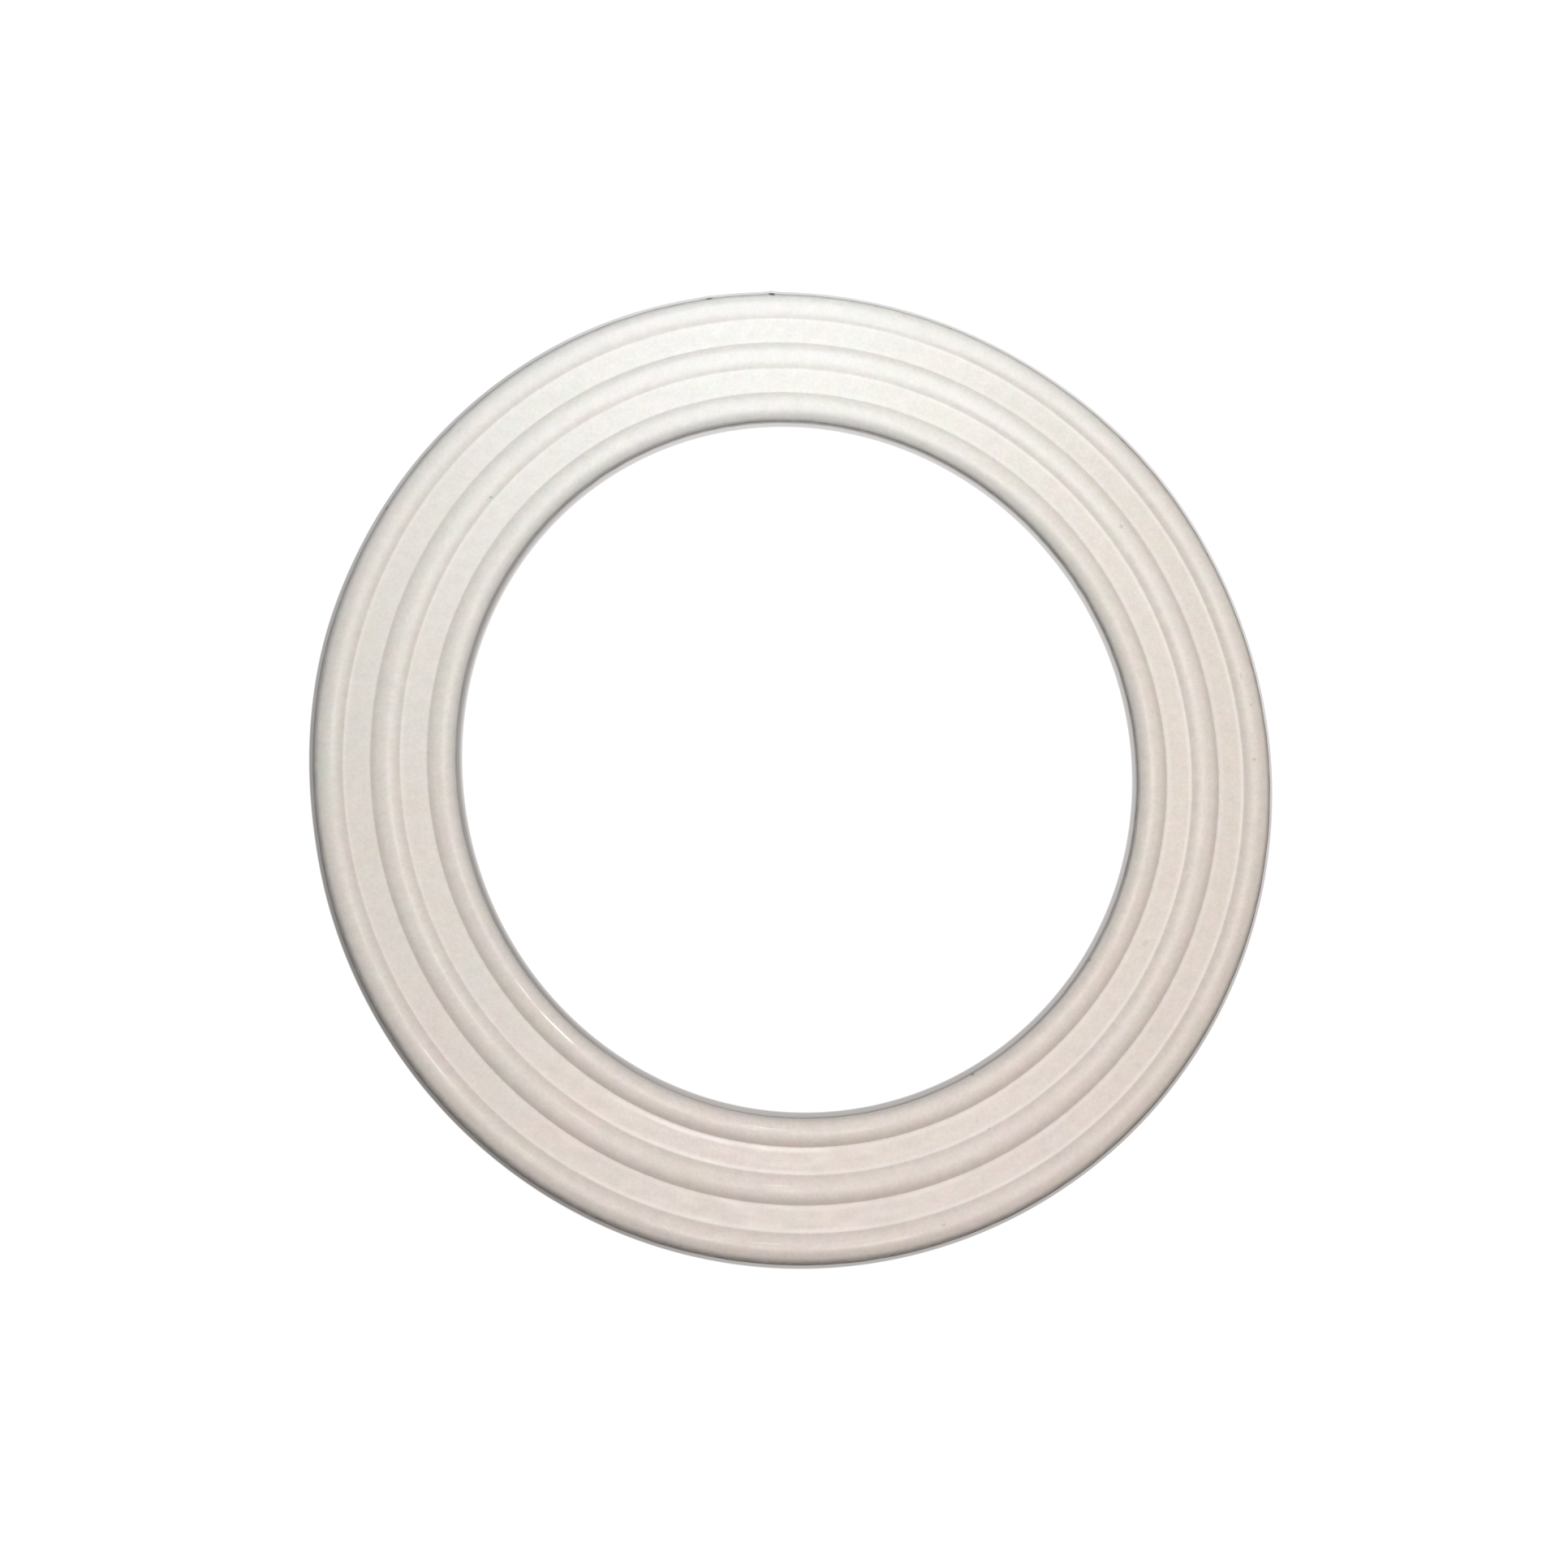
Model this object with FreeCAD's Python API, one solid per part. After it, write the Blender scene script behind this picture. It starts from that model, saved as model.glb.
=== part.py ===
import FreeCAD, Part
import math
import os

# A flat sealing ring, moulded in one piece from white rubber.
# Each face has three rounded ribs with two flat lands between them, and the two faces are alike.
# Lengths are in millimetres. The ring lies flat on z = 0, with its axis on +Z through the origin.

# Driving dimensions
inside_diameter = 68.0      # across the hole, at the straight band of the inner edge
inner_rib_width = 2.7       # from the inner edge to the inner land
land_width = 2.5            # each flat land, the same on both sides of the middle rib
middle_rib_width = 2.8      # across the foot of the middle rib
outer_rib_width = 3.0       # from the outer land to the outer edge
land_thickness = 1.7        # through the ring from land to land
rib_height = 0.4            # from a land up to the crown of a rib, the same for all three
edge_radius = 0.25          # corner between an edge rib and the straight band of its edge
inner_band = 1.0            # height of the straight wall round the hole, at mid-height
outer_band = 0.2            # height of the narrow straight band round the outer edge, at mid-height

# Heights above the middle plane, which is also the parting plane of the mould
land_level = land_thickness / 2
crown_level = land_level + rib_height
inner_band_level = inner_band / 2
outer_band_level = outer_band / 2

# Every rib falls from its crown to a land along the same arc, over half the middle rib's width
half_rib = middle_rib_width / 2
crown_radius = (half_rib ** 2 + rib_height ** 2) / (2 * rib_height)
foot_lean = math.asin(half_rib / crown_radius)

# Radii from the axis, from the hole outwards
inner_edge = inside_diameter / 2
inner_land_start = inner_edge + inner_rib_width
inner_land_end = inner_land_start + land_width
outer_land_start = inner_land_end + middle_rib_width
outer_land_end = outer_land_start + land_width
outer_edge = outer_land_end + outer_rib_width
inner_crown = inner_land_start - half_rib
middle_crown = inner_land_end + half_rib
outer_crown = outer_land_end + half_rib

inwards = -1
outwards = 1
upwards = 1
downwards = -1


def section_point(radius, level, side):
    # A point of the section, on the upper or the lower face of the ring.
    return FreeCAD.Vector(radius, 0, crown_level + side * level)


def line_edge(side, start_radius, start_level, end_radius, end_level):
    start = section_point(start_radius, start_level, side)
    end = section_point(end_radius, end_level, side)
    return Part.makeLine(start, end)


def arc_edge(side, centre_radius, centre_level, arc_radius, start_lean, end_lean):
    # A lean is an angle from straight up, positive towards the outer edge.
    points = []
    for lean in (start_lean, (start_lean + end_lean) / 2, end_lean):
        radius = centre_radius + arc_radius * math.sin(lean)
        level = centre_level + arc_radius * math.cos(lean)
        points.append(section_point(radius, level, side))
    return Part.Arc(points[0], points[1], points[2]).toShape()


def flank_edge(side, crown, direction):
    # One flank of a rib, from its crown down to the crease where the land starts.
    return arc_edge(side, crown, crown_level - crown_radius, crown_radius, 0, direction * foot_lean)


def shoulder_edges(side, crown, edge, band_level, direction):
    # The free side of an edge rib: a wide arc from the crown, then the tighter corner arc.
    # The two arcs share a tangent, and the corner ends upright where the straight band starts.
    reach = abs(edge - crown) - edge_radius
    drop = crown_level - band_level
    shoulder_radius = (reach ** 2 + drop ** 2 - edge_radius ** 2) / (2 * (drop - edge_radius))
    lean = direction * math.asin(reach / (shoulder_radius - edge_radius))
    shoulder = arc_edge(side, crown, crown_level - shoulder_radius, shoulder_radius, 0, lean)
    corner = arc_edge(side, edge - direction * edge_radius, band_level, edge_radius,
                      lean, direction * math.pi / 2)
    return [shoulder, corner]


def face_edges(side):
    # One face of the ring, from the inner band to the outer one.
    edges = shoulder_edges(side, inner_crown, inner_edge, inner_band_level, inwards)
    edges.append(flank_edge(side, inner_crown, outwards))
    edges.append(line_edge(side, inner_land_start, land_level, inner_land_end, land_level))
    edges.append(flank_edge(side, middle_crown, inwards))
    edges.append(flank_edge(side, middle_crown, outwards))
    edges.append(line_edge(side, outer_land_start, land_level, outer_land_end, land_level))
    edges.append(flank_edge(side, outer_crown, inwards))
    edges += shoulder_edges(side, outer_crown, outer_edge, outer_band_level, outwards)
    return edges


def edge_bands():
    # The straight walls at mid-height: a tall one round the hole, a narrow one at the outer parting line.
    inner_wall = line_edge(upwards, inner_edge, -inner_band_level, inner_edge, inner_band_level)
    outer_wall = line_edge(upwards, outer_edge, -outer_band_level, outer_edge, outer_band_level)
    return [inner_wall, outer_wall]


def make_seal_ring():
    # The section is turned once about the axis.
    edges = face_edges(upwards) + face_edges(downwards) + edge_bands()
    outline = Part.Wire(Part.__sortEdges__(edges))
    section = Part.Face(outline)
    return section.revolve(FreeCAD.Vector(0, 0, 0), FreeCAD.Vector(0, 0, 1), 360)


os.makedirs("parts", exist_ok=True)
seal_ring = make_seal_ring()
seal_ring.exportStep("parts/seal_ring.step")
print("outside diameter", 2 * outer_edge, "thickness", 2 * crown_level)
print("seal_ring valid", seal_ring.isValid(), "volume", seal_ring.Volume)
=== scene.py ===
import math

import bpy
from mathutils import Matrix, Vector, noise


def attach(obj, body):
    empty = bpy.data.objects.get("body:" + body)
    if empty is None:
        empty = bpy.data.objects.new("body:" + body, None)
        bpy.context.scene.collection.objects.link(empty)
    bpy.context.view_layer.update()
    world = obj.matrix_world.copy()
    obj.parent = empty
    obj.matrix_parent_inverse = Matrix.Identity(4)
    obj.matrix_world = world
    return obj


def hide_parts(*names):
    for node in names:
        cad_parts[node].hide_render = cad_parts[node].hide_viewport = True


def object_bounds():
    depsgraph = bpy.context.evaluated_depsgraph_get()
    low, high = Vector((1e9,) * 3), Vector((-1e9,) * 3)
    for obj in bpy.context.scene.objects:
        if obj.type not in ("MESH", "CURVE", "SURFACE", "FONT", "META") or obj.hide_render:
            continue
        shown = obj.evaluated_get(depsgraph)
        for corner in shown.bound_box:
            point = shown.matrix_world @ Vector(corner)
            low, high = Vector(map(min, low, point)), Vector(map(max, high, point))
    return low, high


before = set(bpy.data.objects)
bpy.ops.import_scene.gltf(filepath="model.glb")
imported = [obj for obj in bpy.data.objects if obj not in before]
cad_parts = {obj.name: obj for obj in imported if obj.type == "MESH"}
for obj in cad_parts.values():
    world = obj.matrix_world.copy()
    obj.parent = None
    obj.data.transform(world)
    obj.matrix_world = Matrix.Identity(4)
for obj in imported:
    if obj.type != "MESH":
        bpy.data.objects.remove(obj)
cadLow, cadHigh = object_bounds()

mm = 0.001


# Small helpers for modelling

def deselectAll():
    if bpy.context.mode != "OBJECT":
        bpy.ops.object.mode_set(mode="OBJECT")
    bpy.ops.object.select_all(action="DESELECT")


def editPoints():
    bpy.ops.object.mode_set(mode="EDIT")
    bpy.ops.mesh.select_mode(type="VERT")


def penPoint(name, x, z):
    # a single vertex to draw the section from: a small plane, merged to its middle
    deselectAll()
    bpy.ops.mesh.primitive_plane_add(size=mm, location=(x, 0, z))
    piece = bpy.context.object
    piece.name = piece.data.name = name
    bpy.ops.object.transform_apply(location=True, rotation=True, scale=True)
    editPoints()
    bpy.ops.mesh.select_all(action="SELECT")
    bpy.ops.mesh.merge(type="CENTER")
    return piece


def drawArc(centreX, centreZ, degrees, steps):
    # the pen turns about a centre in the XZ plane, clockwise as seen from the front
    bpy.ops.mesh.spin(steps=steps, angle=math.radians(-degrees), center=(centreX, 0, centreZ), axis=(0, 1, 0))


def drawLine(lengthX, lengthZ, steps):
    stride = (lengthX / steps, 0, lengthZ / steps)
    for step in range(steps):
        bpy.ops.mesh.extrude_region_move(TRANSFORM_OT_translate={"value": stride})


def selectOnly(piece):
    deselectAll()
    piece.select_set(True)
    bpy.context.view_layer.objects.active = piece


# The ring: three rounded ribs and two flat lands, alike on its two faces

ringSizes = {
    "innerRibWidth": 2.7,      # millimetres, from the hole outwards
    "landWidth": 2.5,
    "middleRibWidth": 2.8,
    "outerRibWidth": 3.0,
    "ribHeight": 0.4,          # from a land up to a crown
    "edgeCorner": 0.25,        # corner between an edge rib and its straight band
    "innerBand": 1.0,          # height of the straight wall round the hole
    "outerBand": 0.2,          # height of the narrow band round the outer edge
    "outwardHollow": 0.12,     # radius of the hollow where a rib falls outwards to a land
    "inwardHollow": 0.55,      # and where it falls inwards
    "turnSteps": 480,
    "mergeWithin": 0.002,
    "stretch": 0.61,           # soft rubber lying slightly out of round
    "stretchTowards": 104.7,
    "threeSided": 0.09,
    "threeSidedTowards": -1.5,
    # swells of the outer edge: where they are and how far they spread in degrees, and millimetres outwards
    "swells": (
        (41, 12, 0.17), (115, 14, 0.06), (167, 8, 0.09), (189, 8, -0.09),
        (93.7, 0.7, 0.11), (101.4, 0.8, 0.05),     # two small bumps
    ),
    "trim": 0.035,             # how far the trimmed edges wander in and out
    "trimLength": 1.4,         # from one wander to the next, at the radius below
    "trimRadius": 40,
    "innerTrimReach": 0.4,     # how far from its edge a wander or a swell is felt
    "outerTrimReach": 0.8,
}


def ringLevels(sizes):
    # radii and heights of the section, in metres, worked out from the frame's box
    level = {}
    level["outer"] = (cadHigh.x - cadLow.x) / 2
    level["crown"] = cadHigh.z - cadLow.z
    level["middle"] = level["crown"] / 2
    level["land"] = level["crown"] - sizes["ribHeight"] * mm
    level["halfRib"] = sizes["middleRibWidth"] / 2 * mm
    level["landEnd2"] = level["outer"] - sizes["outerRibWidth"] * mm
    level["landStart2"] = level["landEnd2"] - sizes["landWidth"] * mm
    level["landEnd1"] = level["landStart2"] - sizes["middleRibWidth"] * mm
    level["landStart1"] = level["landEnd1"] - sizes["landWidth"] * mm
    level["inner"] = level["landStart1"] - sizes["innerRibWidth"] * mm
    level["innerCrown"] = level["landStart1"] - level["halfRib"]
    level["middleCrown"] = level["landEnd1"] + level["halfRib"]
    level["outerCrown"] = level["landEnd2"] + level["halfRib"]
    return level


def shoulderLean(level, crown, edge, band, corner):
    # a wide arc from the crown that runs smoothly into the corner arc
    reach = abs(edge - crown) - corner
    drop = level["middle"] - band
    radius = (reach ** 2 + drop ** 2 - corner ** 2) / (2 * (drop - corner))
    return radius, math.degrees(math.asin(reach / (radius - corner)))


def ribFoot(ribRadius, rise, hollow):
    # how far round a rib its flank runs before the hollow at its foot, and how far out the hollow ends
    foot = math.acos((ribRadius + hollow - rise) / (ribRadius + hollow))
    return math.degrees(foot), (ribRadius + hollow) * math.sin(foot)


def drawSection(level, sizes):
    # the upper half of the section, from the middle of the inner band to the middle of the outer one;
    # the last number of each call is the steps that its line or arc is drawn in
    innerBand = sizes["innerBand"] / 2 * mm
    outerBand = sizes["outerBand"] / 2 * mm
    corner = sizes["edgeCorner"] * mm
    rise = sizes["ribHeight"] * mm
    ribRadius = (level["halfRib"] ** 2 + rise ** 2) / (2 * rise)
    ribFloor = level["crown"] - ribRadius
    outHollow, inHollow = sizes["outwardHollow"] * mm, sizes["inwardHollow"] * mm
    outFoot, outReach = ribFoot(ribRadius, rise, outHollow)
    inFoot, inReach = ribFoot(ribRadius, rise, inHollow)

    ring = penPoint("sealRing", level["inner"], level["middle"])
    drawLine(0, innerBand, 2)
    radius, lean = shoulderLean(level, level["innerCrown"], level["inner"], innerBand, corner)
    drawArc(level["inner"] + corner, level["middle"] + innerBand, 90 - lean, 5)
    drawArc(level["innerCrown"], level["crown"] - radius, lean, 8)
    drawArc(level["innerCrown"], ribFloor, outFoot, 8)
    for thisCrown, nextCrown in (("innerCrown", "middleCrown"), ("middleCrown", "outerCrown")):
        landStart = level[thisCrown] + outReach
        landEnd = level[nextCrown] - inReach
        drawArc(landStart, level["land"] + outHollow, -outFoot, 4)
        drawLine(landEnd - landStart, 0, 5)
        drawArc(landEnd, level["land"] + inHollow, -inFoot, 5)
        drawArc(level[nextCrown], ribFloor, inFoot, 8)
        if nextCrown == "middleCrown":
            drawArc(level[nextCrown], ribFloor, outFoot, 8)
    radius, lean = shoulderLean(level, level["outerCrown"], level["outer"], outerBand, corner)
    drawArc(level["outerCrown"], level["crown"] - radius, lean, 10)
    drawArc(level["outer"] - corner, level["middle"] + outerBand, 90 - lean, 4)
    drawLine(0, -outerBand, 1)
    return ring


def addLowerFace(level, sizes):
    # the lower face mirrors the upper one about mid-height
    middle = (0, 0, level["middle"])
    bpy.ops.mesh.select_all(action="SELECT")
    bpy.ops.mesh.duplicate()
    bpy.ops.transform.resize(value=(1, 1, -1), center_override=middle)
    bpy.ops.mesh.select_all(action="SELECT")
    bpy.ops.mesh.remove_doubles(threshold=sizes["mergeWithin"] * mm)
    bpy.ops.mesh.normals_make_consistent(inside=False)


def keepRingRadius(ring):
    # the material reads how far out each point is, before the ring is put out of round
    radii = [math.hypot(vertex.co.x, vertex.co.y) / mm for vertex in ring.data.vertices]
    kept = ring.data.attributes.new("ringRadius", "FLOAT", "POINT")
    kept.data.foreach_set("value", radii)


def edgeNudge(angle, inside, outside, sizes):
    # the two edges are trimmed a little unevenly, and the outer one swells in places
    spot = Vector((math.cos(angle), math.sin(angle), 0)) * (sizes["trimRadius"] / sizes["trimLength"])
    elsewhere = spot + Vector((0, 0, 9))       # so that the two edges don't wander alike
    nudge = sizes["trim"] * (inside * noise.noise(spot) + outside * noise.noise(elsewhere))
    for place, spread, amount in sizes["swells"]:
        away = 2 * (1 - math.cos(angle - math.radians(place)))
        nudge += amount * outside * math.exp(-away / math.radians(spread) ** 2)
    return nudge


def putOutOfRound(ring, level, sizes):
    towards = math.radians(sizes["stretchTowards"])
    towardsThree = math.radians(sizes["threeSidedTowards"])
    for vertex in ring.data.vertices:
        angle = math.atan2(vertex.co.y, vertex.co.x)
        radius = math.hypot(vertex.co.x, vertex.co.y)
        inside = max(0, 1 - (radius - level["inner"]) / (sizes["innerTrimReach"] * mm))
        outside = max(0, 1 - (level["outer"] - radius) / (sizes["outerTrimReach"] * mm))
        nudge = sizes["stretch"] * math.cos(2 * (angle - towards))
        nudge += sizes["threeSided"] * math.cos(3 * (angle - towardsThree))
        nudge += edgeNudge(angle, inside, outside, sizes)
        vertex.co.x += nudge * mm * math.cos(angle)
        vertex.co.y += nudge * mm * math.sin(angle)


def makeSealRing(sizes):
    level = ringLevels(sizes)
    ring = drawSection(level, sizes)
    bpy.ops.mesh.select_all(action="SELECT")
    bpy.ops.mesh.spin(steps=sizes["turnSteps"], angle=math.radians(360), center=(0, 0, 0), axis=(0, 0, 1))
    addLowerFace(level, sizes)
    deselectAll()
    keepRingRadius(ring)
    putOutOfRound(ring, level, sizes)
    selectOnly(ring)
    bpy.ops.object.shade_smooth()
    return ring, level


sealRing, ringLevel = makeSealRing(ringSizes)
print("ring modelled,", len(sealRing.data.polygons), "faces")


# Helpers for node trees

def addNode(tree, kind, **settings):
    node = tree.nodes.new("ShaderNode" + kind)
    for name, value in settings.items():
        setattr(node, name, value)
    return node


def feed(tree, socket, value):
    # a socket is linked, anything else is written down as the socket's own value
    if isinstance(value, bpy.types.NodeSocket):
        tree.links.new(value, socket)
    else:
        socket.default_value = value


def mathNode(tree, operation, first, second=0.0, clamp=False):
    node = addNode(tree, "Math", operation=operation, use_clamp=clamp)
    feed(tree, node.inputs[0], first)
    feed(tree, node.inputs[1], second)
    return node.outputs[0]


def product(tree, first, *others):
    for other in others:
        first = mathNode(tree, "MULTIPLY", first, other)
    return first


def vectorNode(tree, operation, first, second=None, scale=None):
    node = addNode(tree, "VectorMath", operation=operation)
    feed(tree, node.inputs[0], first)
    if second is not None:
        feed(tree, node.inputs[1], second)
    if scale is not None:
        feed(tree, node.inputs["Scale"], scale)
    return node.outputs["Value" if operation in ("LENGTH", "DOT_PRODUCT") else "Vector"]


def rangeNode(tree, value, low, high, toLow=0.0, toHigh=1.0, smooth=True):
    node = addNode(tree, "MapRange", interpolation_type="SMOOTHSTEP" if smooth else "LINEAR")
    names = ("Value", "From Min", "From Max", "To Min", "To Max")
    for name, amount in zip(names, (value, low, high, toLow, toHigh)):
        feed(tree, node.inputs[name], amount)
    return node.outputs["Result"]


def fading(tree, value, low, high):
    # one up to the first place, nothing from the second on
    return rangeNode(tree, value, low, high, 1.0, 0.0)


def noiseNode(tree, place, scale, detail=2.0, roughness=0.5):
    node = addNode(tree, "TexNoise")
    feed(tree, node.inputs["Vector"], place)
    feed(tree, node.inputs["Scale"], scale)
    feed(tree, node.inputs["Detail"], detail)
    feed(tree, node.inputs["Roughness"], roughness)
    return node.outputs[0]


def mixColours(tree, amount, first, second, blend="MIX"):
    node = addNode(tree, "Mix", data_type="RGBA", blend_type=blend)
    feed(tree, node.inputs[0], amount)
    feed(tree, node.inputs[6], first)
    feed(tree, node.inputs[7], second)
    return node.outputs[2]


def timesTone(tree, colour, tone):
    # a colour made lighter or darker by one number
    grey = addNode(tree, "CombineColor")
    for channel in ("Red", "Green", "Blue"):
        feed(tree, grey.inputs[channel], tone)
    return mixColours(tree, 1.0, colour, grey.outputs[0], blend="MULTIPLY")


def sideAmount(tree, place, towards, low, high, least, most):
    # an amount that grows across the whole ring towards one side
    direction = (math.cos(math.radians(towards)), math.sin(math.radians(towards)), 0.0)
    return rangeNode(tree, vectorNode(tree, "DOT_PRODUCT", place, direction), low, high, least, most)


def newGroup(name, inputs, outputs):
    # inputs are given as name and starting value, outputs as name and kind
    group = bpy.data.node_groups.new(name, "ShaderNodeTree")
    for inputName, start in inputs:
        kind = "Float"
        if isinstance(start, tuple):
            kind = "Vector" if len(start) == 3 else "Color"
        socket = group.interface.new_socket(name=inputName, in_out="INPUT", socket_type="NodeSocket" + kind)
        socket.default_value = start
    for outputName, kind in outputs:
        group.interface.new_socket(name=outputName, in_out="OUTPUT", socket_type="NodeSocket" + kind)
    return group, group.nodes.new("NodeGroupInput"), group.nodes.new("NodeGroupOutput")


def useGroup(tree, group, **values):
    node = tree.nodes.new("ShaderNodeGroup")
    node.node_tree = group
    for name, value in values.items():
        feed(tree, node.inputs[name], value)
    return node


# Shared effects

def makePlaceGroup():
    # places in millimetres: true, laid flat on the ring, and wound on a circle round it for streaks
    inputs = (("Object", (0.0, 0.0, 0.0)), ("Radius", 40.0), ("Circle", 40.0), ("Across", 4.0))
    outputs = (("True", "Vector"), ("Flat", "Vector"), ("Wound", "Vector"))
    group, given, result = newGroup("ringPlace", inputs, outputs)
    true = vectorNode(group, "SCALE", given.outputs["Object"], scale=1 / mm)
    outwards = vectorNode(group, "NORMALIZE", vectorNode(group, "MULTIPLY", true, (1.0, 1.0, 0.0)))
    onRing = vectorNode(group, "SCALE", outwards, scale=given.outputs["Radius"])
    onCircle = vectorNode(group, "SCALE", outwards, scale=given.outputs["Circle"])
    lift = addNode(group, "CombineXYZ")
    feed(group, lift.inputs["Z"], product(group, given.outputs["Radius"], given.outputs["Across"]))
    wound = vectorNode(group, "ADD", onCircle, lift.outputs["Vector"])
    feed(group, result.inputs["True"], true)
    feed(group, result.inputs["Flat"], onRing)
    feed(group, result.inputs["Wound"], wound)
    return group


def makeGrainGroup():
    # the fine skin of moulded rubber: a soft mottle with small shallow pores
    inputs = (("Place", (0.0, 0.0, 0.0)), ("Grain Size", 0.35), ("Pores", 0.3))
    outputs = (("Tone", "Float"), ("Height", "Float"))
    group, given, result = newGroup("rubberGrain", inputs, outputs)
    place = given.outputs["Place"]
    scale = mathNode(group, "DIVIDE", 1.0, given.outputs["Grain Size"])
    fine = noiseNode(group, place, scale, 3.0, 0.6)
    coarse = noiseNode(group, place, product(group, scale, 0.3), 2.0, 0.5)
    mottle = mathNode(group, "ADD", product(group, fine, 0.6), product(group, coarse, 0.4))
    pore = addNode(group, "TexVoronoi", feature="F1")
    feed(group, pore.inputs["Vector"], place)
    feed(group, pore.inputs["Scale"], product(group, scale, 0.45))
    pit = fading(group, pore.outputs["Distance"], 0.0, 0.35)
    sparse = rangeNode(group, noiseNode(group, place, 0.7, 1.0), 0.5, 0.7)     # pores only here and there
    pit = product(group, pit, sparse, given.outputs["Pores"])
    feed(group, result.inputs["Tone"], mathNode(group, "SUBTRACT", mottle, product(group, pit, 0.3)))
    feed(group, result.inputs["Height"], mathNode(group, "SUBTRACT", mottle, pit))
    return group


def makeCloudGroup():
    # faint clouds of another tint, as white rubber takes up with age
    inputs = (("Place", (0.0, 0.0, 0.0)), ("Size", 14.0), ("Shift", 0.0), ("Start", 0.5), ("Full", 0.75))
    group, given, result = newGroup("tintClouds", inputs, (("Amount", "Float"),))
    shift = addNode(group, "CombineXYZ")
    feed(group, shift.inputs["X"], given.outputs["Shift"])
    place = vectorNode(group, "ADD", given.outputs["Place"], shift.outputs["Vector"])
    cloud = noiseNode(group, place, mathNode(group, "DIVIDE", 1.0, given.outputs["Size"]), 3.0, 0.55)
    amount = rangeNode(group, cloud, given.outputs["Start"], given.outputs["Full"])
    feed(group, result.inputs["Amount"], amount)
    return group


def makeSpotGroup():
    # one small mark with an uneven edge, longer one way if need be
    inputs = (("Place", (0.0, 0.0, 0.0)), ("Centre", (0.0, 0.0, 0.0)), ("Turn", 0.0),
              ("Long", 0.5), ("Short", 0.3), ("Hollow", 0.0))
    group, given, result = newGroup("softSpot", inputs, (("Amount", "Float"),))
    away = vectorNode(group, "SUBTRACT", given.outputs["Place"], given.outputs["Centre"])
    turned = addNode(group, "VectorRotate", rotation_type="Z_AXIS")
    feed(group, turned.inputs["Vector"], away)
    feed(group, turned.inputs["Angle"], product(group, given.outputs["Turn"], -math.pi / 180))
    stretch = addNode(group, "CombineXYZ")
    feed(group, stretch.inputs["X"], mathNode(group, "DIVIDE", 2.0, given.outputs["Long"]))
    feed(group, stretch.inputs["Y"], mathNode(group, "DIVIDE", 2.0, given.outputs["Short"]))
    reach = vectorNode(group, "MULTIPLY", turned.outputs["Vector"], stretch.outputs["Vector"])
    ragged = mathNode(group, "SUBTRACT", noiseNode(group, given.outputs["Place"], 5.0, 2.0), 0.5)
    distance = mathNode(group, "ADD", vectorNode(group, "LENGTH", reach), product(group, ragged, 1.2))
    middle = product(group, fading(group, distance, 0.1, 0.6), given.outputs["Hollow"])
    spot = mathNode(group, "SUBTRACT", fading(group, distance, 0.5, 1.1), middle, clamp=True)
    feed(group, result.inputs["Amount"], spot)
    return group


def makeTintGroup():
    # two slow mottles of the rubber's tint, warm against cool and pink against green
    inputs = (("Place", (0.0, 0.0, 0.0)), ("Size", 2.0))
    group, given, result = newGroup("tintMottle", inputs, (("Warm", "Float"), ("Pink", "Float")))
    scale = mathNode(group, "DIVIDE", 1.0, given.outputs["Size"])
    for output, shift in (("Warm", 11.0), ("Pink", 23.0)):
        place = vectorNode(group, "ADD", given.outputs["Place"], (shift, shift, shift))
        mottle = noiseNode(group, place, scale, 4.0, 0.65)
        feed(group, result.inputs[output], rangeNode(group, mottle, 0.3, 0.7, smooth=False))
    return group


# Where the zones of the section come or go, in millimetres
zoneSpans = {
    "lands": (1.6, 1.8),           # out from the inner edge, where the pattern of lands and creases begins
    "landsGone": (1.2, 1.6),       # in from the outer edge, where it is over
    "endComes": (-0.50, -0.10),    # out from a land's end
    "endGoes": (-0.03, 0.06),
    "startComes": (0.03, 0.22),    # out from a land's start
    "startGoes": (0.25, 0.65),
    "footComes": (0.0, 0.08),      # from a crease up its rib
    "footGoes": (0.1, 0.9),
    "crown": 1.3,                  # out from a land's end, the crown line, rubbed most and given painted sheen
    "polishGoes": (0.5, 1.1),      # to either side of that line
    "sheenGoes": (0.2, 1.0),
    "sheenedRibs": (4.0, 5.0),       # out from the inner edge, past the inner rib
    "innerFlank": (0.4, 1.0),      # out from the inner edge
    "outerFlank": (0.6, 1.2),      # in from the outer edge
    "innerLine": (0.0, 0.09),
    "innerEdge": (0.0, 0.50),
    "outerEdge": (0.05, 0.85),
    "seam": (0.1, 0.35),           # up or down from mid-height
    "seamWall": (0.0, 0.06),
    "innerLand": (2.7, 2.9),       # out from the inner edge: lighter from here
    "innerLandGone": (5.1, 5.4),
    "outerRib": (10.4, 10.7),      # and darker from here
}


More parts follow.
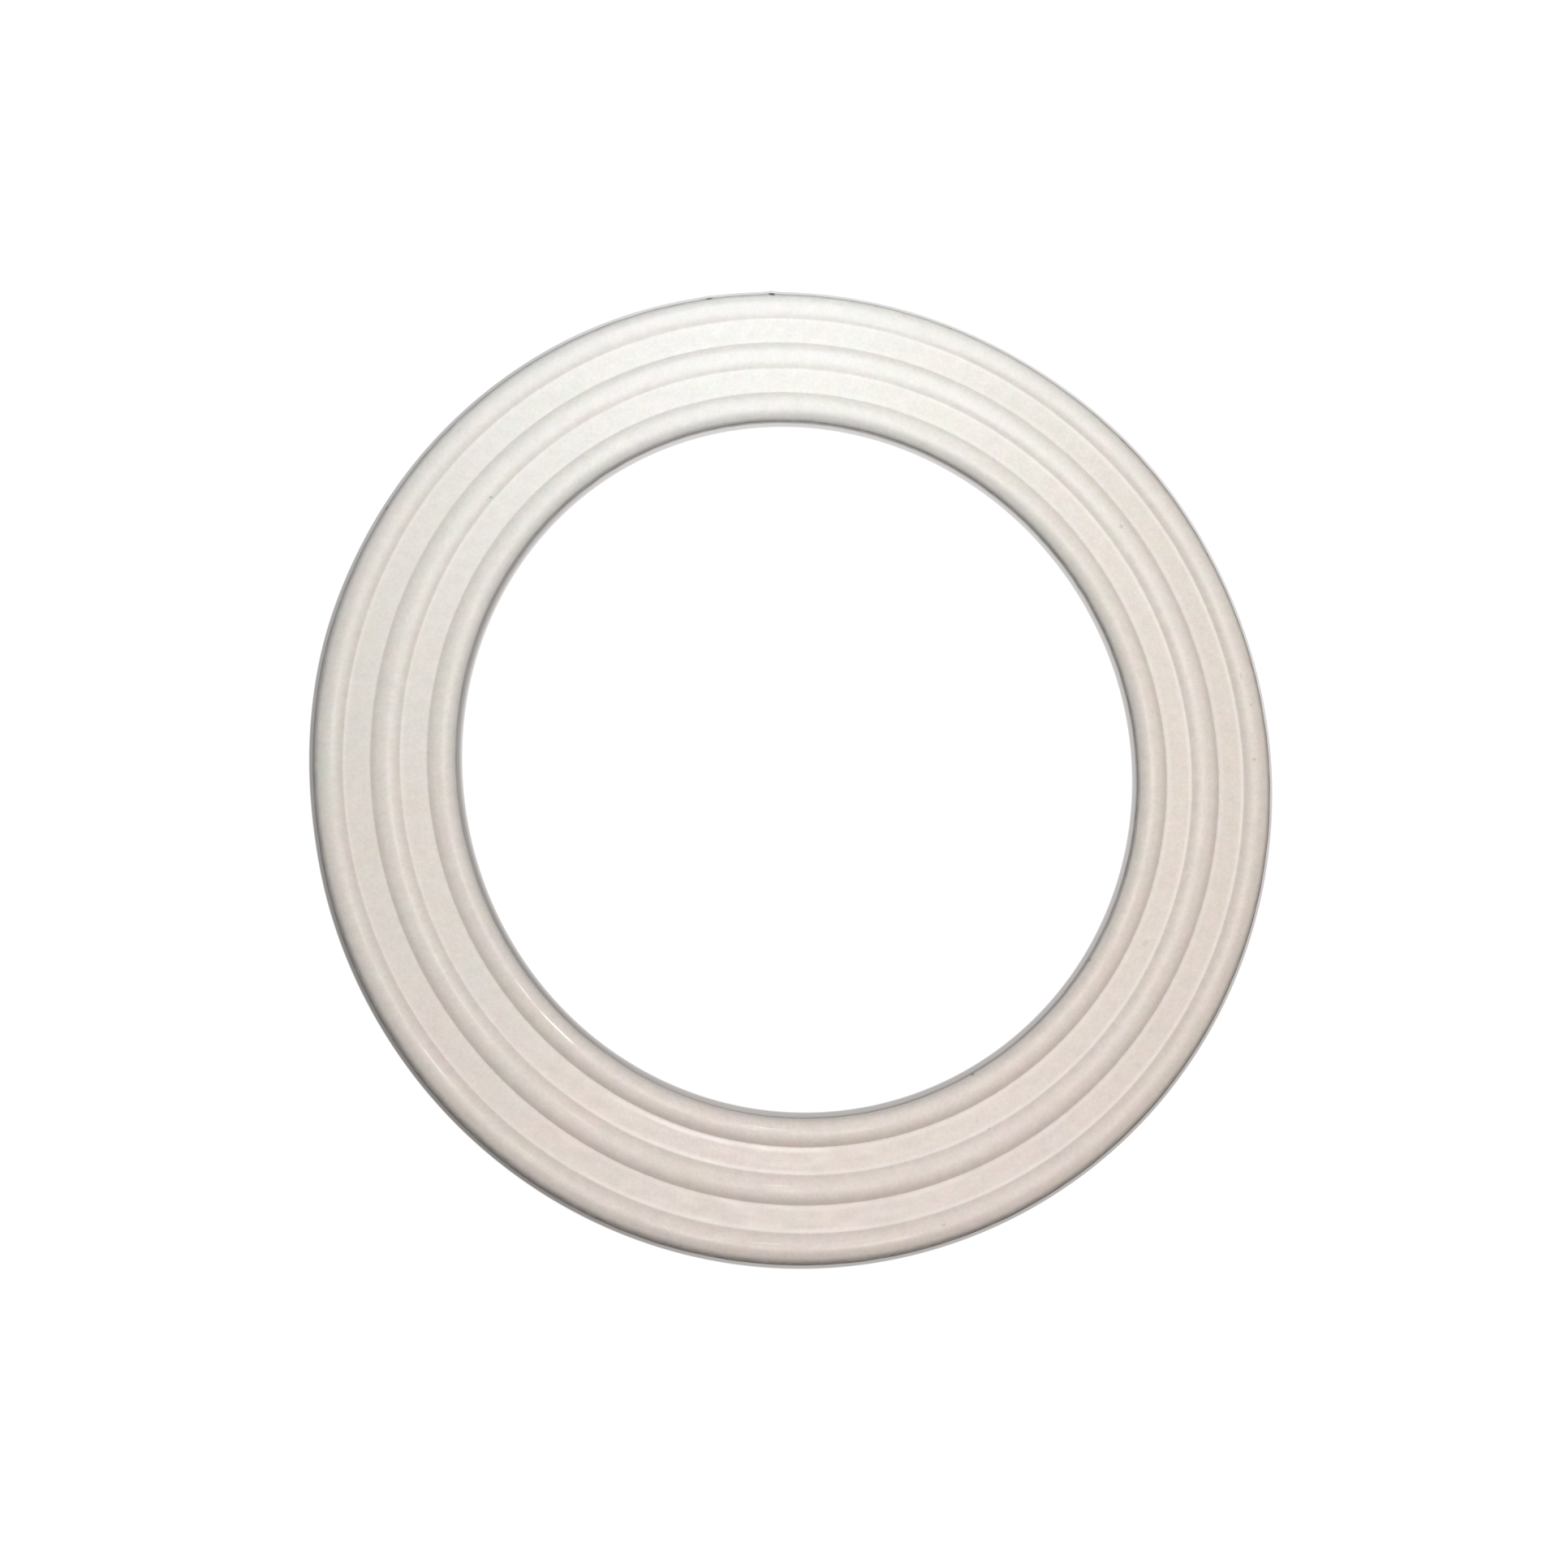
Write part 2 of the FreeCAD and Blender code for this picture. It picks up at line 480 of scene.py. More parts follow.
def makeZoneGroup():
    # the zones of the section, from the ring radius in millimetres; a land and a rib make one stride
    inputs = (("Radius", 40.0), ("Off Middle", 1.0), ("Land Start", 36.7), ("Land", 2.5), ("Stride", 5.3),
              ("Inner", 34.0), ("Outer", 47.5))
    outputs = ("Land End", "Crease", "Rise", "Polish", "Crown", "Flank", "Inner Line", "Inner Edge",
               "Outer Edge", "Seam", "Tone")
    group, given, result = newGroup("ringZones", inputs, [(name, "Float") for name in outputs])
    radius = given.outputs["Radius"]
    inside = mathNode(group, "SUBTRACT", radius, given.outputs["Inner"])
    outside = mathNode(group, "SUBTRACT", given.outputs["Outer"], radius)
    along = mathNode(group, "SUBTRACT", radius, given.outputs["Land Start"])
    along = mathNode(group, "FLOORED_MODULO", along, given.outputs["Stride"])
    past = mathNode(group, "SUBTRACT", along, given.outputs["Land"])
    before = mathNode(group, "SUBTRACT", given.outputs["Stride"], along)

    def ramp(value, name, *amounts):
        return rangeNode(group, value, *zoneSpans[name], *amounts)

    def goes(value, name):
        return fading(group, value, *zoneSpans[name])

    within = product(group, ramp(inside, "lands"), ramp(outside, "landsGone"))
    # land ends carry the gloss and painted highlights
    ending = product(group, ramp(past, "endComes"), goes(past, "endGoes"))
    starting = product(group, ramp(along, "startGoes", 0.75, 0.0), ramp(along, "startComes"))
    landEnd = product(group, mathNode(group, "MAXIMUM", ending, starting), within)
    feed(group, result.inputs["Land End"], landEnd)

    # one kind of crease is where a rib falls outwards to a land, the other where a rib rises from it
    # both kinds of crease carry painted shade
    falling = product(group, ramp(before, "footComes"), goes(before, "footGoes"), within)
    rising = product(group, ramp(past, "footComes"), goes(past, "footGoes"), within)
    feed(group, result.inputs["Crease"], falling)
    feed(group, result.inputs["Rise"], rising)

    # the crown line carries the polish and, past the inner rib, painted sheen
    offCrown = mathNode(group, "ABSOLUTE", mathNode(group, "SUBTRACT", past, zoneSpans["crown"]))
    polish = mathNode(group, "MAXIMUM", landEnd, goes(offCrown, "polishGoes"))
    feed(group, result.inputs["Polish"], polish)
    sheenedCrown = product(group, goes(offCrown, "sheenGoes"), ramp(inside, "sheenedRibs"))
    feed(group, result.inputs["Crown"], sheenedCrown)

    flank = mathNode(group, "MAXIMUM", goes(inside, "innerFlank"), goes(outside, "outerFlank"))
    feed(group, result.inputs["Flank"], flank)
    # the inner line, the two edges and the seam carry painted shade
    innerLine = goes(inside, "innerLine")
    innerEdge = mathNode(group, "ADD", product(group, innerLine, 0.68), ramp(inside, "innerEdge", 0.32, 0.0))
    feed(group, result.inputs["Inner Line"], innerLine)
    feed(group, result.inputs["Inner Edge"], innerEdge)
    feed(group, result.inputs["Outer Edge"], goes(outside, "outerEdge"))
    seam = product(group, goes(given.outputs["Off Middle"], "seam"), goes(inside, "seamWall"))
    feed(group, result.inputs["Seam"], seam)
    tone = mathNode(group, "ADD", ramp(inside, "innerLand"), ramp(inside, "innerLandGone", 0.0, -1.0))
    tone = mathNode(group, "ADD", tone, ramp(inside, "outerRib", 0.0, -2.4))
    feed(group, result.inputs["Tone"], tone)
    return group


placeGroup = makePlaceGroup()
grainGroup = makeGrainGroup()
cloudGroup = makeCloudGroup()
spotGroup = makeSpotGroup()
tintGroup = makeTintGroup()
zoneGroup = makeZoneGroup()


# White rubber

rubberLook = {
    "body": (0.798, 0.744, 0.688, 1.0),
    "pink": (0.834, 0.712, 0.662, 1.0),
    "greenGrey": (0.745, 0.735, 0.675, 1.0),
    "yellow": (0.80, 0.732, 0.655, 1.0),
    # grime colours the dirt marks and also the painted shade in the creases
    "grimeAndCreaseShade": (0.40, 0.33, 0.29, 1.0),
    # painted shade at the two edges and on the seam
    "paintedEdgeShade": (0.282, 0.238, 0.218, 1.0),
    "speck": (0.11, 0.09, 0.08, 1.0),
    "coolFlank": (0.975, 1.0, 1.01, 1.0),
    # pale colours the painted highlights at land ends, the painted sheen on crowns, one side's painted light
    # and a painted highlight mark
    "pale": (0.93, 0.90, 0.87, 1.0),
    "indexOfRefraction": 1.5,
    "specular": 0.6,
    "roughness": 0.42,
    "streakRoughness": 0.05,   # either way
    "grainRoughness": 0.06,
    "edgeRoughness": 0.4,      # more of it on the outer edge, where shade is painted
    "grainTone": 0.08,         # how far the grain lightens and darkens the colour
    "grainDepth": 0.0035,      # millimetres
    "markDepth": 1.5,          # of a mark, as so many times the grain's depth
    "clouds": (("pink", 13.0), ("greenGrey", 17.0), ("yellow", 21.0)),     # tint and size in millimetres
    "cloudShift": 37.0,        # from one tint's clouds to the next one's
    "cloudTone": 0.55,
    "warmMottle": 0.020,       # share of red and blue either way
    "pinkMottle": 0.019,       # share of green either way
    "landTone": 0.013,         # how much lighter the inner land is
    "gloss": 0.10,             # coat on polished crowns and land ends
    "glossRoughness": 0.14,
    "wipedFade": (39.5, 41.5, 1.0, 0.2),       # ring radii from and to, and shares of the wiped gloss there
    # painted highlights, sheen and shade: zone, the side it grows towards, whether it is ragged, amount,
    # colour
    "layers": (
        ("Land End", "landEndHighlight", False, 0.42, "pale"),
        ("Crown", "crownSheen", True, 0.24, "pale"),
        ("Crease", "creaseShade", False, 0.27, "grimeAndCreaseShade"),
        ("Rise", "riseShade", False, 0.13, "grimeAndCreaseShade"),
        ("Outer Edge", "outerEdgeShade", True, 0.84, "paintedEdgeShade"),
        ("Inner Edge", "innerEdgeShade", False, 0.85, "paintedEdgeShade"),
        ("Inner Line", "innerLineShade", False, 0.55, "paintedEdgeShade"),
        ("Seam", None, True, 0.95, "paintedEdgeShade"),
    ),
    # what grows towards a side, in degrees: from and to in millimetres across the ring, and its shares there
    "sides": {
        "pinkClouds": (305, -40.0, 20.0, 0.1, 1.0),
        "pink": (305, -25.0, 50.0, 0.0, 0.55),
        "yellow": (25, -5.0, 45.0, 0.0, 0.55),
        # one side paler: painted light
        "pale": (130, 0.0, 40.0, 0.0, 0.088),
        # painted highlights at the land ends grow towards this side
        "landEndHighlight": (330, -30.0, 30.0, 0.3, 1.0),
        "crownSheen": (75, 0.0, 40.0, 0.0, 1.0),
        # painted shade in the creases grows towards this side
        "creaseShade": (300, -35.0, 25.0, 0.45, 1.0),
        "riseShade": (300, -35.0, 35.0, 1.0, 0.65),
        # painted shade at the edges grows towards these sides
        "outerEdgeShade": (300, -22.0, 0.0, 0.84, 1.0),
        "innerEdgeShade": (208, -22.0, 20.0, 0.0, 1.0),
        "innerLineShade": (305, 14.0, 31.0, 0.0, 1.0),
        "gloss": (235, -30.0, 20.0, 0.2, 1.0),
        "wiped": (254, 36.8, 39.6, 0.0, 0.27),     # across the circle that streaks are wound on
    },
}

# Small marks on the upper face: kind, angle and radius on the ring, length, width, turn, strength
marks = (
    ("grimeAndCreaseShade", 140.6, 39.52, 0.40, 0.30, 20, 0.55),     # dot at the foot of the middle rib
    ("grimeAndCreaseShade", 136.8, 46.29, 0.95, 0.50, 60, 0.10),     # scuffs on the outer rib
    ("grimeAndCreaseShade", 11.4, 45.55, 0.75, 0.22, 100, 0.30),
    ("grimeAndCreaseShade", 10.6, 45.10, 0.60, 0.20, 130, 0.25),
    ("grimeAndCreaseShade", 7.5, 45.96, 0.40, 0.25, 30, 0.30),
    ("grimeAndCreaseShade", 0.5, 45.59, 0.45, 0.40, 0, 0.40),
    ("grimeAndCreaseShade", 36.7, 40.79, 0.60, 0.45, 120, 0.35),     # on the middle rib
    # a painted highlight on the middle rib
    ("pale", 40.0, 40.50, 1.10, 0.50, 130, 0.35),
    ("ring", 331.9, 38.06, 0.75, 0.55, 40, 0.30),      # on the inner land
    ("grimeAndCreaseShade", 21.9, 38.10, 0.50, 0.35, 0, 0.12),
    ("grimeAndCreaseShade", 295.3, 38.04, 0.45, 0.25, 70, 0.25),
    ("grimeAndCreaseShade", 296.4, 39.25, 0.50, 0.12, 25, 0.40),     # dark marks at the creases
    ("grimeAndCreaseShade", 286.5, 45.70, 0.55, 0.20, 25, 0.45),
    ("speck", 93.7, 47.26, 0.75, 0.70, 4, 1.0),        # specks on the outer edge
    ("speck", 101.4, 47.28, 0.90, 0.55, 12, 0.85),
    ("speck", 149.5, 47.30, 0.50, 0.45, 60, 0.45),
    ("speck", 71.2, 47.30, 0.45, 0.40, 341, 0.5),
    ("speck", 45.5, 47.28, 1.20, 0.45, 316, 0.4),
    ("speck", 27.5, 47.30, 0.40, 0.40, 297, 0.5),
    ("speck", 298.0, 34.02, 0.55, 0.40, 28, 0.55),      # and on the inner one
    ("speck", 325.0, 34.02, 0.45, 0.30, 55, 0.4),
    ("gloss", 220.3, 45.62, 6.4, 0.50, 310, 0.20),     # worn smooth on the crowns
    ("gloss", 228.4, 35.18, 5.6, 0.50, 318, 0.70),
    ("gloss", 221.0, 35.05, 3.0, 0.40, 311, 0.3),
    ("gloss", 263.5, 35.12, 5.4, 0.55, 354, 0.38),
    ("gloss", 266.0, 45.52, 3.6, 0.50, 356, 0.2),
    ("gloss", 266.0, 40.35, 3.0, 0.45, 356, 0.25),
)


def spotAmount(tree, place, kind, angle, radius, long, short, turn):
    centre = (radius * math.cos(math.radians(angle)), radius * math.sin(math.radians(angle)), 0.0)
    hollow = 0.9 if kind == "ring" else 0.0
    spot = useGroup(tree, spotGroup, Place=place, Centre=centre, Turn=float(turn),
                    Long=long, Short=short, Hollow=hollow)
    return spot.outputs["Amount"]


def addMarks(tree, place, upper, colour, height, gloss):
    for kind, angle, radius, long, short, turn, strength in marks:
        amount = spotAmount(tree, place, kind, angle, radius, long, short, turn)
        amount = product(tree, amount, strength, upper)
        if kind == "gloss":
            gloss = mathNode(tree, "MAXIMUM", gloss, amount)
            continue
        colour = mixColours(tree, amount, colour, rubberLook["grimeAndCreaseShade" if kind == "ring" else kind])
        height = mathNode(tree, "SUBTRACT", height, product(tree, amount, rubberLook["markDepth"]))
    return colour, height, gloss


def rubberSide(tree, place, name):
    return sideAmount(tree, place.outputs["True"], *rubberLook["sides"][name])


def useZones(tree, level, radius, offMiddle):
    # the frame's mesh has flat facets, which make its box a little small, so the radii are rounded to tenths
    land, rib = ringSizes["landWidth"], ringSizes["middleRibWidth"]
    values = {"Radius": radius, "Off Middle": offMiddle, "Land": land, "Stride": land + rib}
    for name, key in (("Land Start", "landStart1"), ("Inner", "inner"), ("Outer", "outer")):
        values[name] = round(level[key] / mm, 1)
    return useGroup(tree, zoneGroup, **values)


def cloudedColour(tree, place, grain):
    # the body colour with clouds of other tints, and pinker and yellower towards two sides
    colour = rubberLook["body"]
    for number, (tint, size) in enumerate(rubberLook["clouds"]):
        shift = rubberLook["cloudShift"] * (number + 1)
        cloud = useGroup(tree, cloudGroup, Place=place.outputs["True"], Shift=shift, Size=size)
        amount = product(tree, cloud.outputs["Amount"], rubberLook["cloudTone"])
        if tint == "pink":
            amount = product(tree, amount, rubberSide(tree, place, "pinkClouds"))
        colour = mixColours(tree, amount, colour, rubberLook[tint])
    for tint in ("pink", "yellow"):
        colour = mixColours(tree, rubberSide(tree, place, tint), colour, rubberLook[tint])
    spread = rubberLook["grainTone"]
    tone = rangeNode(tree, grain.outputs["Tone"], 0.3, 0.7, 1 - spread, 1 + spread, smooth=False)
    return timesTone(tree, colour, tone)


def mottledColour(tree, place, colour):
    # a slow mottle of tint, warm against cool and pink against green
    mottle = useGroup(tree, tintGroup, Place=place.outputs["True"])
    warm, pink = rubberLook["warmMottle"], rubberLook["pinkMottle"]
    swings = {
        "Warm": ((1 - warm, 1, 1 + warm, 1), (1 + warm, 1, 1 - warm, 1)),
        "Pink": ((1 - pink, 1 + pink, 1 - pink, 1), (1 + pink, 1 - pink, 1 + pink, 1)),
    }
    for output, (low, high) in swings.items():
        swing = mixColours(tree, mottle.outputs[output], low, high)
        colour = mixColours(tree, 1.0, colour, swing, blend="MULTIPLY")
    return colour


def paintedLightColour(tree, place, zones, colour):
    # painted sheen on crowns and painted highlights at land ends, painted shade in the creases, at the two
    # edges and on the seam
    ragged = noiseNode(tree, place.outputs["Wound"], 1.1, 3.0, 0.65)
    ragged = rangeNode(tree, ragged, 0.3, 0.7, 0.75, 1.25, smooth=False)
    for zone, side, isRagged, amount, tint in rubberLook["layers"]:
        share = zones.outputs[zone]
        if side:
            share = product(tree, share, rubberSide(tree, place, side))
        if isRagged:
            share = product(tree, share, ragged)
        share = mathNode(tree, "MULTIPLY", share, amount, clamp=True)
        colour = mixColours(tree, share, colour, rubberLook[tint])
    return colour


def tonedColour(tree, place, zones, colour):
    # a lighter inner land, a darker outer rib, one side paler by painted light, and cooler free sides of the
    # edge ribs
    tone = mathNode(tree, "ADD", product(tree, zones.outputs["Tone"], rubberLook["landTone"]), 1.0)
    colour = timesTone(tree, colour, tone)
    colour = mixColours(tree, rubberSide(tree, place, "pale"), colour, rubberLook["pale"])
    cool = mixColours(tree, 1.0, colour, rubberLook["coolFlank"], blend="MULTIPLY")
    return mixColours(tree, zones.outputs["Flank"], colour, cool)


def satinRoughness(tree, place, grain, zones):
    # satin, smoother in streaks that run round the ring
    middle, spread = rubberLook["roughness"], rubberLook["streakRoughness"]
    streak = noiseNode(tree, place.outputs["Wound"], 0.35, 3.0, 0.55)
    roughness = rangeNode(tree, streak, 0.35, 0.65, middle - spread, middle + spread, smooth=False)
    ofGrain = product(tree, grain.outputs["Tone"], rubberLook["grainRoughness"])
    ofEdge = product(tree, zones.outputs["Outer Edge"], rubberLook["edgeRoughness"])
    return mathNode(tree, "ADD", mathNode(tree, "ADD", roughness, ofGrain), ofEdge)


def wornGloss(tree, place, radius, zones):
    # a thin coat on polished crowns and land ends, and more on a patch that is wiped smooth
    wound = place.outputs["Wound"]
    gloss = rangeNode(tree, noiseNode(tree, wound, 0.12, 4.0, 0.6), 0.44, 0.62, 0.0, rubberLook["gloss"])
    polishOffEdge = mathNode(tree, "SUBTRACT", zones.outputs["Polish"], zones.outputs["Outer Edge"], clamp=True)
    gloss = product(tree, gloss, polishOffEdge, rubberSide(tree, place, "gloss"))
    wiped = sideAmount(tree, wound, *rubberLook["sides"]["wiped"])
    near = rangeNode(tree, radius, *rubberLook["wipedFade"])
    patchy = rangeNode(tree, noiseNode(tree, wound, 0.5, 4.0, 0.65), 0.3, 0.6, 0.35, 1.0)
    return mathNode(tree, "MAXIMUM", gloss, product(tree, wiped, near, patchy, zones.outputs["Land End"]))


def makeWhiteRubber(level):
    material = bpy.data.materials.new("whiteRubber")
    material.use_nodes = True
    tree = material.node_tree
    tree.nodes.clear()

    coordinates = addNode(tree, "TexCoord")
    radius = addNode(tree, "Attribute", attribute_type="GEOMETRY", attribute_name="ringRadius").outputs["Fac"]
    place = useGroup(tree, placeGroup, Object=coordinates.outputs["Object"], Radius=radius)
    split = addNode(tree, "SeparateXYZ")
    feed(tree, split.inputs["Vector"], place.outputs["True"])
    middle = level["middle"] / mm
    upper = rangeNode(tree, split.outputs["Z"], middle - 0.2, middle)      # marks keep to the upper face
    offMiddle = mathNode(tree, "ABSOLUTE", mathNode(tree, "SUBTRACT", split.outputs["Z"], middle))
    zones = useZones(tree, level, radius, offMiddle)
    grain = useGroup(tree, grainGroup, Place=place.outputs["True"])

    colour = cloudedColour(tree, place, grain)
    colour = mottledColour(tree, place, colour)
    colour = paintedLightColour(tree, place, zones, colour)
    colour = tonedColour(tree, place, zones, colour)
    gloss = wornGloss(tree, place, radius, zones)
    flat, height = place.outputs["Flat"], grain.outputs["Height"]
    colour, height, gloss = addMarks(tree, flat, upper, colour, height, gloss)

    shader = addNode(tree, "BsdfPrincipled")
    feed(tree, shader.inputs["Base Color"], colour)
    feed(tree, shader.inputs["Roughness"], satinRoughness(tree, place, grain, zones))
    feed(tree, shader.inputs["Coat Weight"], gloss)
    shader.inputs["Coat Roughness"].default_value = rubberLook["glossRoughness"]
    shader.inputs["IOR"].default_value = rubberLook["indexOfRefraction"]
    shader.inputs["Specular IOR Level"].default_value = rubberLook["specular"]
    bump = addNode(tree, "Bump")
    feed(tree, bump.inputs["Height"], height)
    bump.inputs["Strength"].default_value = 1.0
    bump.inputs["Distance"].default_value = rubberLook["grainDepth"] * mm
    feed(tree, shader.inputs["Normal"], bump.outputs["Normal"])
    surface = addNode(tree, "OutputMaterial")
    feed(tree, surface.inputs["Surface"], shader.outputs["BSDF"])
    return material


sealRing.data.materials.append(makeWhiteRubber(ringLevel))
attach(sealRing, "root")
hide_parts("seal_ring")
print("white rubber made")


# Floor, world, lamps and camera

floorLook = {
    "size": 3.0,               # metres
    "below": 0.01,             # millimetres under the ring
    "colour": (0.40, 0.40, 0.40, 1.0),         # as it throws light back
    "seenColour": (0.16, 0.16, 0.16, 1.0),
    "glow": 0.95,              # lifts the floor to white where it is seen open
    "glowInShade": (1.0, 0.93, 0.89, 1.0),
    "innerShift": (0.11, 0.14, 0.0),           # the shade lies a little to one side, in millimetres
    "outerShift": (0.10, 0.22, 0.0),
    # share of the glow lost under an edge: the side it grows towards, from and to in millimetres, and the
    # least and the most
    "innerShade": (260, -34.0, 34.0, 0.40, 0.61),
    "outerShade": (260, -47.0, 47.0, 0.82, 0.95),
    "innerLine": (185, 8.0, 32.0, 0.0, 0.22),      # and more of it lost right at the inner edge
    "innerReach": (0.21, 0.40),    # millimetres past the edge, full shade and none
    "outerReach": (0.57, 0.78),
    "lineReach": (-0.05, 0.2),
}


def fromAxis(tree, shift, swells=()):
    # place on the floor and its distance from the axis, less the ring's being out of round
    coordinates = addNode(tree, "TexCoord")
    place = vectorNode(tree, "SCALE", coordinates.outputs["Object"], scale=1 / mm)
    place = vectorNode(tree, "SUBTRACT", place, shift)
    split = addNode(tree, "SeparateXYZ")
    feed(tree, split.inputs["Vector"], place)
    angle = mathNode(tree, "ARCTAN2", split.outputs["Y"], split.outputs["X"])
    radius = vectorNode(tree, "LENGTH", place)
    for lobes, amount, towards in ((2, "stretch", "stretchTowards"), (3, "threeSided", "threeSidedTowards")):
        turned = mathNode(tree, "SUBTRACT", angle, math.radians(ringSizes[towards]))
        wave = mathNode(tree, "COSINE", product(tree, turned, float(lobes)))
        radius = mathNode(tree, "SUBTRACT", radius, product(tree, wave, ringSizes[amount]))
    for centre, spread, amount in swells:
        turned = mathNode(tree, "SUBTRACT", angle, math.radians(centre))
        away = mathNode(tree, "SUBTRACT", mathNode(tree, "COSINE", turned), 1.0)
        swell = mathNode(tree, "EXPONENT", product(tree, away, 2 / math.radians(spread) ** 2))
        radius = mathNode(tree, "SUBTRACT", radius, product(tree, swell, amount))
    return place, radius


def shadedFloor(tree, level):
    # a thin contact shade follows the ring's two edges, out of round as they are
    place, radius = fromAxis(tree, floorLook["innerShift"])
    inner = mathNode(tree, "SUBTRACT", level["inner"] / mm, radius)
    line = sideAmount(tree, place, *floorLook["innerLine"])
    line = rangeNode(tree, inner, *floorLook["lineReach"], line, 0.0)
    depth = mathNode(tree, "ADD", sideAmount(tree, place, *floorLook["innerShade"]), line)
    innerShade = product(tree, fading(tree, inner, *floorLook["innerReach"]), depth)
    place, radius = fromAxis(tree, floorLook["outerShift"], ringSizes["swells"])
    outer = mathNode(tree, "SUBTRACT", radius, level["outer"] / mm)
    depth = sideAmount(tree, place, *floorLook["outerShade"])
    outerShade = product(tree, fading(tree, outer, *floorLook["outerReach"]), depth)
    return mathNode(tree, "MINIMUM", innerShade, outerShade)


def makeFloor(level):
    deselectAll()
    bpy.ops.mesh.primitive_plane_add(size=floorLook["size"], location=(0, 0, -floorLook["below"] * mm))
    floor = bpy.context.object
    floor.name = floor.data.name = "floor"
    material = bpy.data.materials.new("paleFloor")
    material.use_nodes = True
    tree = material.node_tree
    tree.nodes.clear()
    diffuse = addNode(tree, "BsdfDiffuse")
    glow = addNode(tree, "Emission")
    path = addNode(tree, "LightPath")
    colour = mixColours(tree, path.outputs["Is Camera Ray"], floorLook["colour"], floorLook["seenColour"])
    feed(tree, diffuse.inputs["Color"], colour)
    seen = mathNode(tree, "MAXIMUM", path.outputs["Is Camera Ray"], path.outputs["Is Glossy Ray"])
    seen = mathNode(tree, "MAXIMUM", seen, path.outputs["Is Transmission Ray"])
    shade = shadedFloor(tree, level)
    glowColour = mixColours(tree, shade, (1.0, 1.0, 1.0, 1.0), floorLook["glowInShade"])
    feed(tree, glow.inputs["Color"], glowColour)
    lift = product(tree, mathNode(tree, "SUBTRACT", 1.0, shade), floorLook["glow"])
    feed(tree, glow.inputs["Strength"], product(tree, seen, lift))
    both = addNode(tree, "AddShader")
    feed(tree, both.inputs[0], diffuse.outputs[0])
    feed(tree, both.inputs[1], glow.outputs[0])
    surface = addNode(tree, "OutputMaterial")
    feed(tree, surface.inputs["Surface"], both.outputs[0])
    floor.data.materials.append(material)


worldLook = {"colour": (1.0, 0.98, 0.96, 1.0), "strength": 0.06}


def makeWorld():
    world = bpy.data.worlds.new("studio")
    bpy.context.scene.world = world
    world.use_nodes = True
    tree = world.node_tree
    tree.nodes.clear()
    ambient = addNode(tree, "Background")
    ambient.inputs["Color"].default_value = worldLook["colour"]
    ambient.inputs["Strength"].default_value = worldLook["strength"]
    white = addNode(tree, "Background")
    white.inputs["Color"].default_value = (1.0, 1.0, 1.0, 1.0)
    path = addNode(tree, "LightPath")
    both = addNode(tree, "MixShader")
    feed(tree, both.inputs[0], path.outputs["Is Camera Ray"])
    feed(tree, both.inputs[1], ambient.outputs[0])
    feed(tree, both.inputs[2], white.outputs[0])
    surface = addNode(tree, "OutputWorld")
    feed(tree, surface.inputs["Surface"], both.outputs[0])


# Each lamp: compass direction and height above the floor in degrees, distance and width in metres,
# and the level at which it alone lights a flat white surface; a pool also has the place and radius it lights
lamps = {
    "streak": {"towards": 64, "height": 81, "distance": 1.0, "width": 0.10, "level": 0.10,
               "colour": (1.0, 1.0, 0.97)},
    "glint": {"towards": 276, "height": 85, "distance": 1.0, "width": 0.04, "level": 0.045,
              "colour": (1.0, 1.0, 1.0)},
    "ceiling": {"towards": 300, "height": 78, "distance": 1.0, "width": 0.25, "level": 0.33,
                "colour": (1.02, 1.0, 0.99)},
    "back": {"towards": 90, "height": 60, "distance": 1.0, "width": 0.30, "level": 0.17,
             "colour": (1.0, 1.0, 1.02)},
    "window": {"towards": 70, "height": 50, "distance": 0.28, "width": 0.06, "level": 0.035,
               "colour": (1.0, 1.0, 1.0)},
    "right": {"towards": 20, "height": 70, "distance": 0.25, "width": 0.05, "level": 0.08,
              "colour": (1.27, 1.0, 0.82)},
    "side": {"towards": 180, "height": 50, "distance": 0.8, "width": 0.40, "level": 0.04,
             "colour": (0.92, 1.02, 1.0)},
    "narrowPool": {"towards": 270, "height": 70, "distance": 0.5, "width": 0.03, "level": 0.215,
                   "colour": (0.80, 1.0, 1.16), "poolX": -2, "poolY": 60, "poolRadius": 50},
    "widePool": {"towards": 90, "height": 60, "distance": 0.5, "width": 0.03, "level": 0.19,
                 "colour": (0.75, 1.0, 1.14), "poolX": -2, "poolY": 60, "poolRadius": 90},
}


